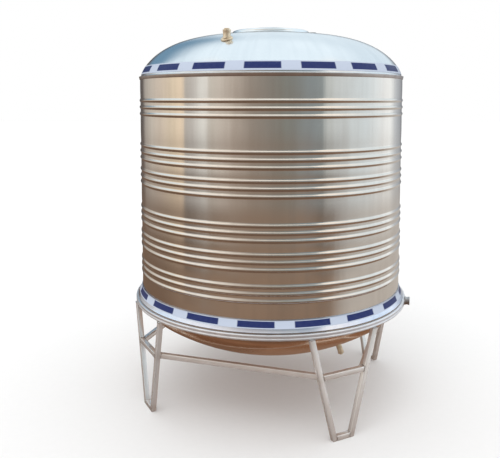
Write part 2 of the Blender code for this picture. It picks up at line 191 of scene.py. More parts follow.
# colour where clean and where dull, roughness and its spread, grain and smear as noise scales
# along X, Y and Z (on the dome round the axis and outwards), wave and streak the sheet's
# unevenness in metres, and flow the stretch of the reflections, where there are any
# several clean and dull colours below also hold painted reflection and painted shade tints, noted
# at each
steels = {
    # the barrel's warm tint is partly the sheet's own tone and partly a painted warm reflection,
    # which turns the sky seen in the beads cream
    "barrelSteel": {
        "colour": (0.88, 0.84, 0.785), "dull": (0.77, 0.72, 0.665),
        "roughness": (0.15, 0.10), "grain": (1.5, 1.5, 420.0), "smear": (16.0, 16.0, 0.9),
        "wave": 0.0023, "streak": 0.00022, "flow": 0.75},
    # the seam's colour, darker than the barrel's sheet, is painted shade: it stands in for the
    # shadow and the dark ground reflected on the fold's face
    "seamSteel": {
        "colour": (0.62, 0.56, 0.53), "dull": (0.44, 0.38, 0.36),
        "roughness": (0.36, 0.12), "grain": (3.0, 3.0, 200.0), "smear": (16.0, 16.0, 9.0),
        "wave": 0.0004, "flow": 0.3},
    # the dome's cool tint is a painted reflection of the blue sky
    "domeSteel": {
        "colour": (0.84, 0.875, 0.90), "dull": (0.72, 0.77, 0.81),
        "roughness": (0.17, 0.10), "grain": (60.0, 2.0), "smear": (9.0, 1.5),
        "wave": 0.0016, "streak": 0.00010},
    # the blue-white tint of the lid and the neck is a painted reflection of the sky
    "lidSteel": {
        "colour": (0.93, 0.98, 1.0), "dull": (0.84, 0.91, 0.96),
        "roughness": (0.19, 0.08), "grain": (70.0, 70.0, 70.0), "smear": (12.0, 12.0, 12.0),
        "wave": 0.0008},
    # the collar's blue tint is a painted reflection of the sky
    "collarSteel": {
        "colour": (0.84, 0.90, 1.0), "dull": (0.71, 0.77, 0.93),
        "roughness": (0.20, 0.06), "grain": (2.0, 2.0, 300.0), "smear": (20.0, 20.0, 4.0),
        "wave": 0.0006, "streak": 0.00004, "flow": 0.4},
    "ringSteel": {
        "colour": (0.90, 0.90, 0.93), "dull": (0.76, 0.76, 0.79),
        "roughness": (0.37, 0.12), "grain": (3.0, 3.0, 200.0), "smear": (22.0, 22.0, 9.0),
        "wave": 0.0004, "flow": 0.3},
    # the dish's orange-brown colours are a painted reflection of the brown ground under the tank,
    # laid on the steel
    "dishSteel": {
        "colour": (1.0, 0.76, 0.58), "dull": (0.84, 0.60, 0.44),
        "roughness": (0.20, 0.06), "grain": (40.0, 40.0, 60.0), "smear": (7.0, 7.0, 9.0),
        "wave": 0.0004},
    "tubeSteel": {
        "colour": (0.97, 0.975, 0.98), "dull": (0.90, 0.895, 0.89),
        "roughness": (0.20, 0.06), "grain": (45.0, 45.0, 45.0), "smear": (14.0, 14.0, 10.0),
        "wave": 0.0001},
    "fittingSteel": {
        "colour": (0.55, 0.55, 0.56), "dull": (0.38, 0.38, 0.40),
        "roughness": (0.40, 0.16), "grain": (90.0, 90.0, 90.0), "smear": (40.0, 40.0, 40.0),
        "wave": 0.0001},
    "brassCast": {
        "colour": (0.92, 0.80, 0.62), "dull": (0.66, 0.51, 0.34),
        "roughness": (0.40, 0.18), "grain": (150.0, 150.0, 150.0), "smear": (55.0, 55.0, 55.0),
        "wave": 0.0001},
    "weldSteel": {
        "colour": (0.62, 0.59, 0.56), "dull": (0.36, 0.32, 0.31),
        "roughness": (0.40, 0.2), "grain": (220.0, 220.0, 220.0), "smear": (60.0, 60.0, 60.0)},
}
# how much of each finish is bare metal, where it is not all of it
metalShare = {"tubeSteel": 0.70, "ringSteel": 0.85, "brassCast": 0.80}
# the heat tint round the welds of the tubes, by height
tubeHeat = {
    "heights": (0.0125, 0.322, 0.512),
    "reach": (0.010, 0.045),
    "colour": (0.56, 0.47, 0.40),
    "share": 0.45,
}
# how smears, broad clouds and grain make up the wear, and how grain shows in the surface
wearMix = {
    "smearRange": (0.34, 0.72),
    "smearShare": 0.50,
    "cloudSize": 4.5,
    "cloudRange": (0.35, 0.75),
    "cloudShare": 0.30,
    "grainShare": 0.20,
    "usualWear": 0.4,
    "grainSpread": 0.06,
    "grainDepth": 0.00004,
    "grainStrength": 0.5,
    "streakScale": (38.0, 38.0, 1.1),
    "waveScale": (3.0, 3.0, 0.6),
}


def spokes(place, across, along):
    # coordinates that run outwards from the tank's axis: across round it, along outwards
    flat = place.stretched((1.0, 1.0, 0.0))
    reach = flat.vector("LENGTH", out=1)
    turn = flat.vector("NORMALIZE").stretched((across,) * 3)
    rise = place.node("ShaderNodeCombineXYZ", None, {"Z": reach * along})
    return turn.vector("ADD", rise)


def steel(name):
    look = steels[name]
    made, shader, place = newMaterial(name)
    if name == "domeSteel":
        grain = spokes(place, *look["grain"]).noise(1.0, 3.0, 0.6)
        smear = spokes(place, *look["smear"]).noise(1.0, 3.0, 0.55)
    else:
        grain = place.stretched(look["grain"]).noise(1.0, 4.0, 0.65)
        smear = place.stretched(look["smear"]).noise(1.0, 3.0, 0.55)
    cloud = place.noise(wearMix["cloudSize"], 2.0)
    wear = smear.step(*wearMix["smearRange"]) * wearMix["smearShare"]
    wear = wear + cloud.step(*wearMix["cloudRange"]) * wearMix["cloudShare"]
    wear = wear + grain * wearMix["grainShare"]
    colour = wear.mix(look["colour"], look["dull"])
    if name == "tubeSteel":
        rise = place.part("Z")
        heat = 0.0
        for height in tubeHeat["heights"]:
            away = (rise - height).maths("ABSOLUTE")
            heat = heat + (1.0 - away.step(*tubeHeat["reach"]))
        colour = (heat * tubeHeat["share"] * smear).mix(colour, tubeHeat["colour"])
    place.feed(shader.inputs["Base Color"], colour)
    smooth, spread = look["roughness"]
    dull = smooth + (wear - wearMix["usualWear"]) * spread
    place.feed(shader.inputs["Roughness"], dull + (grain - 0.5) * wearMix["grainSpread"])
    shader.inputs["Metallic"].default_value = metalShare.get(name, 1.0)
    shader.inputs["Anisotropic"].default_value = look.get("flow", 0.0)
    shader.inputs["Anisotropic Rotation"].default_value = 0.25
    heights = [(grain, wearMix["grainDepth"], wearMix["grainStrength"])]
    if "streak" in look:
        streak = place.stretched(wearMix["streakScale"]).noise(1.0, 2.0)
        heights.append((streak, look["streak"], 1.0))
    if "wave" in look:
        wave = place.stretched(wearMix["waveScale"]).noise(1.0, 1.0)
        heights.append((wave, look["wave"], 1.0))
    bumped(place, shader, heights)
    return made


film = {
    "white": (0.46, 0.515, 0.62),
    "blue": (0.008, 0.018, 0.105),
    "sheen": 0.14,
    "barShare": 0.65,
    "endSoftness": 0.012,
    "edgeSoftness": 0.0008,
    "fading": 0.05,
    "roughness": (0.26, 0.22),
    "creaseScale": (9.0, 9.0, 26.0),
    "creaseDepth": 0.0018,
    "creaseStrength": 0.6,
    "stand": 0.0011,
    "sheet": 0.0004,
}


def printedFilm(name, owner, base=0.0):
    # plain blue bars round the owner, between two heights above the base
    made, shader, place = newMaterial(name)
    turn = (place.planAngle() - owner["barPhase"]) * (owner["barsRound"] / 360.0)
    along = (turn + 0.5).maths("FRACT") - 0.5
    soft, half = film["endSoftness"], film["barShare"] / 2
    inBar = 1.0 - along.maths("ABSOLUTE").step(half - soft, half + soft)
    height = place.part("Z")
    lowBar, highBar = (base + edge for edge in owner["filmBars"])
    soft = film["edgeSoftness"]
    inBar = inBar * height.step(lowBar - soft, lowBar + soft)
    inBar = inBar * (1.0 - height.step(highBar - soft, highBar + soft))
    faded = inBar * ((1.0 - film["fading"]) + film["fading"] * place.noise(60.0, 2.0))
    place.feed(shader.inputs["Base Color"], faded.mix(film["white"], film["blue"]))
    crease = place.stretched(film["creaseScale"]).noise(1.0, 4.0, 0.6)
    smooth, spread = film["roughness"]
    place.feed(shader.inputs["Roughness"], smooth + spread * crease)
    shader.inputs["Specular IOR Level"].default_value = film["sheen"]
    bumped(place, shader, [(crease, film["creaseDepth"], film["creaseStrength"])])
    finishes[name] = made


finishes = {name: steel(name) for name in steels}
print("finishes mixed:", len(finishes))

# points nearer than this are merged where a turned or drawn shape closes
mergeGap = 0.00002


def deselectAll():
    for other in list(bpy.context.selected_objects):
        other.select_set(False)


def takeUp(piece):
    deselectAll()
    piece.select_set(True)
    bpy.context.view_layer.objects.active = piece


def selectAll():
    bpy.ops.mesh.select_all(action="SELECT")


def editMode():
    bpy.ops.object.mode_set(mode="EDIT")
    selectAll()


def objectMode():
    bpy.ops.object.mode_set(mode="OBJECT")


def named(name):
    made = bpy.context.active_object
    made.name = made.data.name = name
    return made


def drawnLine(name, points):
    # a chain of edges, extruded from a plane that was merged to its middle
    deselectAll()
    bpy.ops.mesh.primitive_plane_add(size=0.01, location=points[0])
    piece = named(name)
    editMode()
    bpy.ops.mesh.merge(type="CENTER")
    for last, point in zip(points, points[1:]):
        move = tuple(Vector(point) - Vector(last))
        bpy.ops.mesh.extrude_region_move(TRANSFORM_OT_translate={"value": move})
    return piece


def facingOut(piece):
    # every sheet of the tank is seen from outside, so its faces point away from its middle
    middle = Vector((0.0, 0.0, 1.1))
    away = sum(face.area * face.normal.dot(face.center - middle) for face in piece.data.polygons)
    if away < 0:
        editMode()
        bpy.ops.mesh.flip_normals()
        objectMode()


def turned(name, profile, thickness=0.0, segments=192, closed=False, sweep=math.tau):
    # profile points are (radius, height); a sheet gets its thickness on the inner side
    piece = drawnLine(name, [(radius, 0.0, height) for radius, height in profile])
    selectAll()
    if closed:
        bpy.ops.mesh.edge_face_add()
        bpy.ops.mesh.delete(type="ONLY_FACE")
        selectAll()
    bpy.ops.mesh.spin(steps=segments, angle=sweep, center=(0, 0, 0), axis=(0, 0, 1))
    selectAll()
    bpy.ops.mesh.remove_doubles(threshold=mergeGap)
    bpy.ops.mesh.normals_make_consistent(inside=False)
    objectMode()
    applyPlace(piece)
    if thickness:
        facingOut(piece)
        modified(piece, "SOLIDIFY", thickness=thickness, offset=-1, use_even_offset=True)
    return piece


def applyPlace(piece):
    takeUp(piece)
    bpy.ops.object.transform_apply(location=True, rotation=True, scale=True)


def modified(piece, kind, **settings):
    takeUp(piece)
    bpy.ops.object.modifier_add(type=kind)
    made = piece.modifiers[-1]
    for key, value in settings.items():
        setattr(made, key, value)
    bpy.ops.object.modifier_apply(modifier=made.name)


def rounded(piece, width, segments=2):
    # rounds every edge sharper than 30 degrees
    limit = {"limit_method": "ANGLE", "angle_limit": math.radians(30)}
    modified(piece, "BEVEL", width=width, segments=segments, **limit)
    return piece


def fused(piece, other, operation="UNION"):
    # joins a piece with another, or cuts it by the other, which is used up
    modified(piece, "BOOLEAN", operation=operation, solver="EXACT", object=other)
    takeUp(other)
    bpy.ops.object.delete()
    takeUp(piece)


def bored(piece, radius, length, middle, axis):
    fused(piece, rod("bore", radius, length, middle, axis), "DIFFERENCE")
    return piece


def plate(name, outline, thickness):
    # an outline filled and pulled out along the vector thickness
    piece = drawnLine(name, outline)
    selectAll()
    bpy.ops.mesh.edge_face_add()
    bpy.ops.mesh.extrude_region_move(TRANSFORM_OT_translate={"value": tuple(thickness)})
    selectAll()
    bpy.ops.mesh.normals_make_consistent(inside=False)
    objectMode()
    applyPlace(piece)
    return piece


def rod(name, radius, length, middle, axis):
    # a round bar, for joining on or for boring with
    deselectAll()
    bpy.ops.mesh.primitive_cylinder_add(vertices=48, radius=radius, depth=length)
    piece = named(name)
    standOn(piece, middle, axis)
    return piece


def standOn(piece, foot, axis):
    # turns a piece made round +Z so that it stands at foot along axis
    piece.location = foot
    piece.rotation_euler = axis.to_track_quat("Z", "Y").to_euler()
    applyPlace(piece)


def joined(name, pieces):
    deselectAll()
    for piece in pieces:
        piece.select_set(True)
    bpy.context.view_layer.objects.active = pieces[0]
    bpy.ops.object.join()
    return named(name)


def finished(piece, look, node=None, body="tank", angle=35):
    takeUp(piece)
    bpy.ops.object.shade_smooth_by_angle(angle=math.radians(angle))
    piece.data.materials.clear()
    piece.data.materials.append(finishes[look])
    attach(piece, body)
    if node:
        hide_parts(node)


def arc(centre, radius, start, end, steps):
    # points on a round stretch of a profile; angles in degrees, 0 outwards and 90 up
    points = []
    for step in range(steps + 1):
        turn = math.radians(start + (end - start) * step / steps)
        points.append((centre[0] + radius * math.cos(turn), centre[1] + radius * math.sin(turn)))
    return points


def atAngle(angle, reach, height):
    turn = math.radians(angle)
    return Vector((reach * math.sin(turn), -reach * math.cos(turn), height))


barrel = {
    "radius": 0.710,
    "sheet": 0.0012,
    "groups": (0.158, 0.390, 0.521, 0.723, 0.858, 1.004),
    "pitch": 0.035,
    "halfWidth": 0.0115,
    "beadSteps": 8,
    "plainStart": 0.0015,
    "bulge": 0.030,
    "bulgeSteps": 6,
    "seamWidth": 0.0045,
    "seamRise": 0.0003,
}
barrelLow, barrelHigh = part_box("shell_wall")
beadDepth = barrelHigh.x - barrel["radius"]


def plainZone(high, low):
    # the plain sheet between two groups of beads stands out a little in its middle
    zone = []
    for step in range(1, barrel["bulgeSteps"]):
        share = step / barrel["bulgeSteps"]
        stand = barrel["bulge"] * (high - low) * share * (1 - share)
        zone.append((barrel["radius"] + stand, high + (low - high) * share))
    return zone


def makeBarrel():
    radius = barrel["radius"]
    steps = barrel["beadSteps"]
    half = barrel["halfWidth"]
    plain = half + barrel["plainStart"]
    profile = [(radius, barrelHigh.z)]
    for group in barrel["groups"]:
        for place in (-1, 0, 1):
            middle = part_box("roof_dome")[0].z - group - place * barrel["pitch"]
            if place == -1:
                profile += plainZone(profile[-1][1], middle + plain)
            profile.append((radius, middle + plain))
            for step in range(steps + 1):
                share = 1 - 2 * step / steps
                stand = 0.5 + 0.5 * math.cos(math.pi * share)
                profile.append((radius + beadDepth * stand, middle + share * half))
            profile.append((radius, middle - plain))
    profile += plainZone(profile[-1][1], barrelLow.z) + [(radius, barrelLow.z)]
    piece = turned("barrel", profile, barrel["sheet"])
    finished(piece, "barrelSteel", "shell_wall")

    # the sheet's two ends meet in a flat weld down the back
    rise = barrel["seamRise"]
    sweep = barrel["seamWidth"] / radius
    proud = [(radius + rise, height) for radius, height in profile[1:-1]]
    piece = turned("barrelWeld", proud, rise * 2, 4, sweep=sweep)
    piece.rotation_euler.z = math.radians(90) - sweep / 2
    applyPlace(piece)
    finished(piece, "weldSteel")


makeBarrel()
print("barrel turned")

roof = {
    "radius": 0.706,
    "rise": 0.230,
    "flatness": 3.6,
    "fullness": 1.5,
    "hole": 0.187,
    "rings": 56,
    "sheet": 0.0012,
    "edgeTurn": 87.5,
    "flangeRise": 0.0028,
    "flangeBend": 0.0035,
    "flangeCover": 0.0030,
    "seamFold": 0.0022,
    "seamLean": 0.0028,
    "seamCover": 0.0004,
    "film": (0.012, 0.056),
    "filmSteps": 12,
    "filmBars": (0.0203, 0.0515),
    "barsRound": 17,
    "barPhase": -2.9,
}
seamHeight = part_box("roof_rim")[1].z + 0.0006
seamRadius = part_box("roof_rim")[1].x


def roofHeight(radius):
    share = (radius / roof["radius"]) ** roof["flatness"]
    return seamHeight + roof["rise"] * max(1 - share, 0) ** (1 / roof["fullness"])


def roofRadius(rise):
    share = (rise / roof["rise"]) ** roof["fullness"]
    return roof["radius"] * (1 - share) ** (1 / roof["flatness"])


def makeRoof():
    start = math.asin((roof["hole"] / roof["radius"]) ** (roof["flatness"] / 2))
    profile = []
    for step in range(roof["rings"] + 1):
        turn = start + (math.radians(roof["edgeTurn"]) - start) * step / roof["rings"]
        radius = roof["radius"] * math.sin(turn) ** (2 / roof["flatness"])
        profile.append((radius, roofHeight(radius)))
    flange = seamHeight + roof["flangeRise"]
    bend = roof["flangeBend"]
    profile += arc((roof["radius"] + bend, flange + bend), bend, 180, 270, 3)
    profile.append((seamRadius - roof["flangeCover"], flange))
    piece = turned("dome", profile, roof["sheet"])
    finished(piece, "domeSteel", "roof_dome")

    # the folded seam wraps the roof's flange and the barrel's edge, and its face leans inwards
    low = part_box("roof_rim")[0].z
    fold = roof["seamFold"]
    top = flange - roof["seamCover"]
    inner = barrel["radius"] + roof["seamCover"]
    profile = [(inner, top)]
    profile += arc((seamRadius - fold, top - fold), fold, 90, -10, 5)
    profile += arc((seamRadius - fold - roof["seamLean"], low + fold), fold, -10, -90, 5)
    profile.append((inner, low))
    piece = turned("roofSeam", profile, closed=True)
    finished(piece, "seamSteel", "roof_rim")


def makeRoofFilm():
    low, high = roof["film"]
    near = 0.0005
    profile = []
    for step in range(roof["filmSteps"] + 1):
        rise = high + (low - high) * step / roof["filmSteps"]
        lean = math.atan((roofRadius(rise - near) - roofRadius(rise + near)) / (2 * near))
        height = seamHeight + rise + film["stand"] * math.sin(lean)
        profile.append((roofRadius(rise) + film["stand"] * math.cos(lean), height))
    piece = turned("roofFilm", profile, film["sheet"])
    printedFilm("roofFilmPrint", roof, seamHeight)
    finished(piece, "roofFilmPrint", "roof_tape")


makeRoof()
makeRoofFilm()
print("roof turned")

neck = {
    "inner": 0.1950,
    "rim": 0.002,
    "footBend": 0.003,
    "footReach": 0.201,
    "footRise": 0.0008,
    "inset": 0.0004,
    "sheet": 0.0012,
}
lid = {
    "radius": 0.209,
    "flat": 0.200,
    "rings": 24,
    "fall": 0.0156,
    "step": 0.0022,
    "stepRadius": 0.120,
    "stepSoftness": 0.0035,
    "edgeBend": 0.007,
    "edgeDrop": 0.0085,
    "curl": 0.0030,
    "curlReach": 0.0035,
    "sheet": 0.0012,
}
lidLow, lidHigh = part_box("manhole_lid")


def lidHeight(radius):
    return lidHigh.z - lid["fall"] * (radius / lid["radius"]) ** 2


def makeNeck():
    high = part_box("manhole_neck")[1]
    inner, rim, bend = neck["inner"], neck["rim"], neck["footBend"]
    foot = roofHeight(neck["footReach"]) + neck["footRise"]
    profile = arc((inner - rim, high.z - rim), rim, 180, 0, 6)
    profile += arc((inner + bend, foot + bend), bend, 180, 265, 5)
    profile.append((high.x - neck["inset"], foot))
    piece = turned("neck", profile, neck["sheet"])
    finished(piece, "lidSteel", "manhole_neck")


def makeLid():
    # the lid has a pressed ring, and its edge is bent down and curled outwards
    profile = []
    for step in range(lid["rings"] + 1):
        radius = lid["flat"] * step / lid["rings"]
        press = lid["step"] / (1 + math.exp((lid["stepRadius"] - radius) / lid["stepSoftness"]))
        profile.append((radius, lidHeight(radius) - press))
    edge = lidHeight(lid["flat"]) - lid["step"]
    radius = lid["radius"]
    bend = lid["edgeBend"]
    profile += arc((radius - bend, edge - lid["edgeDrop"]), bend, 80, 0, 5)
    curl = lid["curl"]
    middle = (radius + lid["curlReach"] - curl, lidLow.z + curl)
    profile.append((radius, middle[1] + 2 * curl))
    profile += arc(middle, curl, 60, -120, 8)
    piece = turned("lid", profile, lid["sheet"])
    finished(piece, "lidSteel", "manhole_lid", "lid")


makeNeck()
makeLid()
print("manhole made")

collar = {
    "topRadius": 0.7132,
    "flare": 0.0248,
    "power": 1.6,
    "steps": 14,
    "sheet": 0.0010,
    "hem": 0.0016,
    "film": (0.5675, 0.6010),
    "filmSteps": 8,
    "filmBars": (0.5715, 0.5985),
    "barsRound": 17,
    "barPhase": -5.1,
}
ring = {
    "bend": 0.0066,
    "inner": 0.719,
    "sheet": 0.0024,
}
# the short pipe that joins the dish with the outlet socket, through holes in ring and dish
outletPipe = {
    "angle": 76.5,
    "height": 0.5305,
    "inner": 0.0085,
    "outer": 0.0105,
    "near": 0.6980,
    "far": 0.7448,
    "play": 0.0002,
    "holeReach": 0.72,
    "holeLength": 0.08,
}
collarLow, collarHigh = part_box("stand_collar")
ringLow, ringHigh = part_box("stand_ring")
outletAxis = atAngle(outletPipe["angle"], 1.0, 0.0)


def collarRadius(height):
    share = (collarHigh.z - height) / (collarHigh.z - collarLow.z)
    return collar["topRadius"] + collar["flare"] * share ** collar["power"]


def boredForPipe(piece):
    middle = atAngle(outletPipe["angle"], outletPipe["holeReach"], outletPipe["height"])
    radius = outletPipe["outer"] + outletPipe["play"]
    return bored(piece, radius, outletPipe["holeLength"], middle, outletAxis)


def makeCollar():
    hem = collar["hem"]
    top, low = collarHigh.z, collarLow.z + 2 * hem
    profile = [(collarRadius(top), top)]
    for step in range(1, collar["steps"] + 1):
        height = top + (low - top) * step / collar["steps"]
        profile.append((collarRadius(height), height))
    edge = profile[-1]
    profile += arc((edge[0] - hem, edge[1]), hem, 0, -150, 5)
    piece = turned("collar", profile, collar["sheet"])
    finished(piece, "collarSteel", "stand_collar")

    low, high = collar["film"]
    profile = []
    for step in range(collar["filmSteps"] + 1):
        height = high + (low - high) * step / collar["filmSteps"]
        profile.append((collarRadius(height) + film["stand"], height))
    piece = turned("collarFilm", profile, film["sheet"])
    printedFilm("collarFilmPrint", collar)
    finished(piece, "collarFilmPrint", "collar_tape")


def makeRing():
    # a channel whose web is rolled into two round beads
    reach = ringHigh.x - ring["bend"]
    profile = [(ring["inner"], ringHigh.z)]
    profile += arc((reach, ringHigh.z - ring["bend"]), ring["bend"], 90, -55, 9)
    profile += arc((reach, ringLow.z + ring["bend"]), ring["bend"], 55, -90, 9)
    profile.append((ring["inner"], ringLow.z))
    piece = boredForPipe(turned("ring", profile, ring["sheet"]))
    finished(piece, "ringSteel", "stand_ring")


makeCollar()
makeRing()
print("collar and ring turned")

dish = {
    "radius": 0.700,
    "depth": 0.300,
    "knuckle": 0.120,
    "top": 0.537,
    "flangeEdge": 0.733,
    "flangeRadius": 0.706,
    "flangeBend": 0.006,
    "flangePlay": 0.0003,
    "knuckleSteps": 14,
    "rings": 22,
    "sheet": 0.0012,
}
# a crown of large radius blends into the knuckle
dishSide = dish["radius"] - dish["knuckle"]
dishCrown = (dishSide ** 2 + dish["depth"] ** 2 - dish["knuckle"] ** 2)
dishCrown /= 2 * (dish["depth"] - dish["knuckle"])


def dishHeight(radius):
    return dish["top"] - dish["depth"] + dishCrown - math.sqrt(dishCrown ** 2 - radius ** 2)


def makeDish():
    # the flange rests on the ring
    flange = ringHigh.z + dish["flangePlay"] + dish["sheet"]
    bend = dish["flangeBend"]
    profile = [(dish["flangeEdge"], flange), (dish["flangeRadius"], flange)]
    profile += arc((dish["flangeRadius"], flange - bend), bend, 90, 180, 4)
    blend = math.atan2(dishSide, dishCrown - dish["depth"])
    for step in range(dish["knuckleSteps"] + 1):
        turn = (math.pi / 2 - blend) * step / dish["knuckleSteps"]
        radius = dishSide + dish["knuckle"] * math.cos(turn)
        profile.append((radius, dish["top"] - dish["knuckle"] * math.sin(turn)))
    for step in range(1, dish["rings"] + 1):
        radius = dishCrown * math.sin(blend * (1 - step / dish["rings"]))
        profile.append((radius, dishHeight(radius)))
    piece = boredForPipe(turned("dish", profile, dish["sheet"]))
    finished(piece, "dishSteel", "bottom_dish")


makeDish()
print("dish turned")

legs = {
    "angles": (29.0, 119.0, 209.0, 299.0),
    "corner": 0.0030,
    "longEdge": 0.040,
    "plane": 0.716,
    "tube": 0.025,
    "topHalf": 0.178,
    "footHalf": 0.046,
    "crossbar": 0.322,
    "braceHalf": 0.118,
}


def softened(node, width, longEdge):
    # a copy of a CAD node with its long edges rounded
    source = frame["nodes"][node]
    piece = bpy.data.objects.new(node + "_rounded", source.data.copy())
    bpy.context.scene.collection.objects.link(piece)
    takeUp(piece)
    editMode()
    bpy.ops.mesh.remove_doubles(threshold=mergeGap / 2)
    bpy.ops.mesh.dissolve_limited(angle_limit=math.radians(1))
    bpy.ops.mesh.select_all(action="DESELECT")
    objectMode()
    points = piece.data.vertices
    for edge in piece.data.edges:
        start, end = (points[index].co for index in edge.vertices)
        edge.select = (end - start).length > longEdge
    bpy.ops.object.mode_set(mode="EDIT")
    bpy.ops.mesh.select_mode(type="EDGE")
    bpy.ops.mesh.bevel(offset=width, segments=4, affect="EDGES")
    bpy.ops.mesh.select_mode(type="VERT")
    objectMode()
    return piece


def makeLegs():
    names = [name for name in sorted(frame["nodes"]) if name.startswith(("leg_", "brace_"))]
    for name in names:
        piece = softened(name, legs["corner"], legs["longEdge"])
        finished(piece, "tubeSteel", name)


makeLegs()
print("legs rounded")

hinge = {
    "sheet": 0.003,
    "edge": 0.0005,
    "corner": 0.004,
    "footInset": 0.001,
    "sink": 0.0008,
    "earGap": 0.0195,
    "earHalf": 0.0112,
    "eyeRadius": 0.0086,
    "pinRadius": 0.004,
    "pinPlay": 0.0003,
    "pinHead": 0.0025,
    "knuckleRadius": 0.008,
    "knucklePlay": 0.0006,
    "tongueHalf": 0.0034,
    "tongueShare": 0.9,
    "bore": 0.1,
}
# how the pin's head is rounded: share of its radius, and depth below its end
pinCap = ((0.0, 0.0), (0.4, 0.0002), (0.75, 0.0009), (0.95, 0.0018), (1.0, 0.0026), (1.0, 0.0032))
catch = {
    "skirt": 0.2080,
    "hole": 0.005,
    "haspEdge": 0.0008,
    "sheet": 0.0028,
    "bend": 0.0012,
    "edge": 0.0005,
    "sink": 0.0006,
}
sideways = Vector((0.0, 1.0, 0.0))
upright = Vector((0.0, 0.0, 1.0))


def seated(piece, height, depth):
    # lets a flat underside follow the dome below it
    for point in piece.data.vertices:
        if point.co.z < height:
            point.co.z = roofHeight(point.co.xy.length) - depth


def makeBracket(axis):
    low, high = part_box("lid_hinge_bracket")
    corner, sink = hinge["corner"], hinge["sink"]
    base = low.z + hinge["sheet"]
    outline = []
    places = ((high.x, high.y, 0), (low.x, high.y, 90), (low.x, low.y, 180), (high.x, low.y, 270))
    for x, y, start in places:
        inward = -hinge["footInset"] - corner if x > axis.x else corner
        centre = (x + inward, y + (corner if y < 0 else -corner))
        outline += [(px, py, low.z - sink) for px, py in arc(centre, corner, start, start + 90, 4)]
    bracket = plate("hingeBracket", outline, upright * (base - low.z + sink))
    seated(bracket, low.z, sink)
    gap, half = hinge["earGap"], hinge["earHalf"]
    width = high.y - 2 * hinge["sheet"] - gap
    foot = base - 0.001
    for start in (-gap - width, gap):
        top = arc((axis.x, axis.z), hinge["eyeRadius"], 0, 180, 14)
        outline = [(axis.x + half, start, foot)] + [(x, start, z) for x, z in top]
        outline.append((axis.x - half, start, foot))
        fused(bracket, plate("ear", outline, sideways * width))
    bored(bracket, hinge["pinRadius"] + hinge["pinPlay"], hinge["bore"], axis, sideways)
    rounded(bracket, hinge["edge"])
    finished(bracket, "fittingSteel", "lid_hinge_bracket")


def makeHinge():
    axis = Vector(frame["joints"][0]["pos_m"])
    makeBracket(axis)

    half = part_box("lid_hinge_pin")[1].y
    radius = hinge["pinRadius"]
    head = radius + hinge["pinHead"]
    cap = [(share * head, half - depth) for share, depth in pinCap]
    cap.append((radius, cap[-1][1]))
    pin = turned("hingePin", cap + [(r, -z) for r, z in reversed(cap)], segments=32)
    standOn(pin, axis, sideways)
    finished(pin, "fittingSteel", "lid_hinge_pin")

    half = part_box("lid_hinge_knuckle")[1].y
    knuckle = rod("hingeKnuckle", hinge["knuckleRadius"], 2 * half, axis, sideways)
    rise, side = hinge["tongueHalf"], hinge["tongueShare"] * half
    near, far = axis.x, -catch["skirt"]
    corners = ((near, -rise), (far, -rise), (far, rise), (near, rise))
    outline = [(x, -side, axis.z + z) for x, z in corners]
    fused(knuckle, plate("tongue", outline, sideways * (2 * side)))
    bored(knuckle, radius + hinge["knucklePlay"], hinge["bore"], axis, sideways)
    rounded(knuckle, hinge["edge"])
    finished(knuckle, "fittingSteel", "lid_hinge_knuckle", "lid")


def makeHasp():
    low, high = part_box("lid_hasp")
    half = high.y
    middle = high.x - half
    outline = [(catch["skirt"], -half, low.z)]
    outline += [(x, y, low.z) for x, y in arc((middle, 0.0), half, -90, 90, 18)]
    outline.append((catch["skirt"], half, low.z))
    hasp = plate("lidHasp", outline, upright * (high.z - low.z))
    bored(hasp, catch["hole"], 0.03, Vector((middle, 0, low.z)), upright)
    rounded(hasp, catch["haspEdge"], 3)
    finished(hasp, "fittingSteel", "lid_hasp", "lid")

    # the lug is a folded sheet: its foot on the dome, its upper face under the hasp
    low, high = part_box("hasp_lug")
    sheet = catch["sheet"]
    bend = sheet + catch["bend"]
    foot = low.z - catch["sink"]
    turnAt = high.x - bend
    outside = [(low.x, foot), (turnAt, foot)]
    outside += arc((turnAt, foot + bend), bend, -90, 0, 5)
    outside += arc((turnAt, high.z - bend), bend, 0, 90, 5) + [(low.x, high.z)]
    inside = [(low.x, high.z - sheet)]
    inside += arc((turnAt, high.z - bend), bend - sheet, 90, 0, 4)
    inside += arc((turnAt, foot + bend), bend - sheet, 0, -90, 4)
    inside.append((low.x, foot + sheet))
    outline = [(x, low.y, z) for x, z in outside + inside]
    lug = plate("haspLug", outline, sideways * (high.y - low.y))
    seated(lug, low.z - catch["sink"] / 2, catch["sink"])
    bored(lug, catch["hole"], 0.006, Vector((middle, 0, high.z)), upright)
    rounded(lug, catch["edge"])
    finished(lug, "fittingSteel", "hasp_lug")


fittings = {
    "inlet": {
        "angle": -22.5, "reach": 0.540, "pad": 0.0285, "padRise": 0.0070,
        "radius": 0.0195, "height": 0.0445, "plugRadius": 0.0175, "plugRise": 0.0080},
    "drain": {
        "angle": 58.5, "reach": 0.425, "radius": 0.0160, "height": 0.064,
        "plugRadius": 0.0120, "plugRise": 0.0085},
    "outlet": {"end": 0.772, "radius": 0.0215, "bore": 0.0165, "pitch": 0.0023, "thread": 0.0009},
}


def socketOutline(radius, height, foot):
    # a cast socket: a plain rim, a waist and a wider rim at its mouth
    rim = 0.0012
    waist = radius - rim
    outline = [(0.0, height), (radius - 2 * rim, height)]
    outline += arc((radius - rim, height - rim), rim, 90, 0, 3)
    outline += [(radius, height - 0.009), (waist, height - 0.0115)]
    outline += [(waist, foot + 0.012), (radius, foot + 0.009), (radius, foot), (0.0, foot)]
    return outline


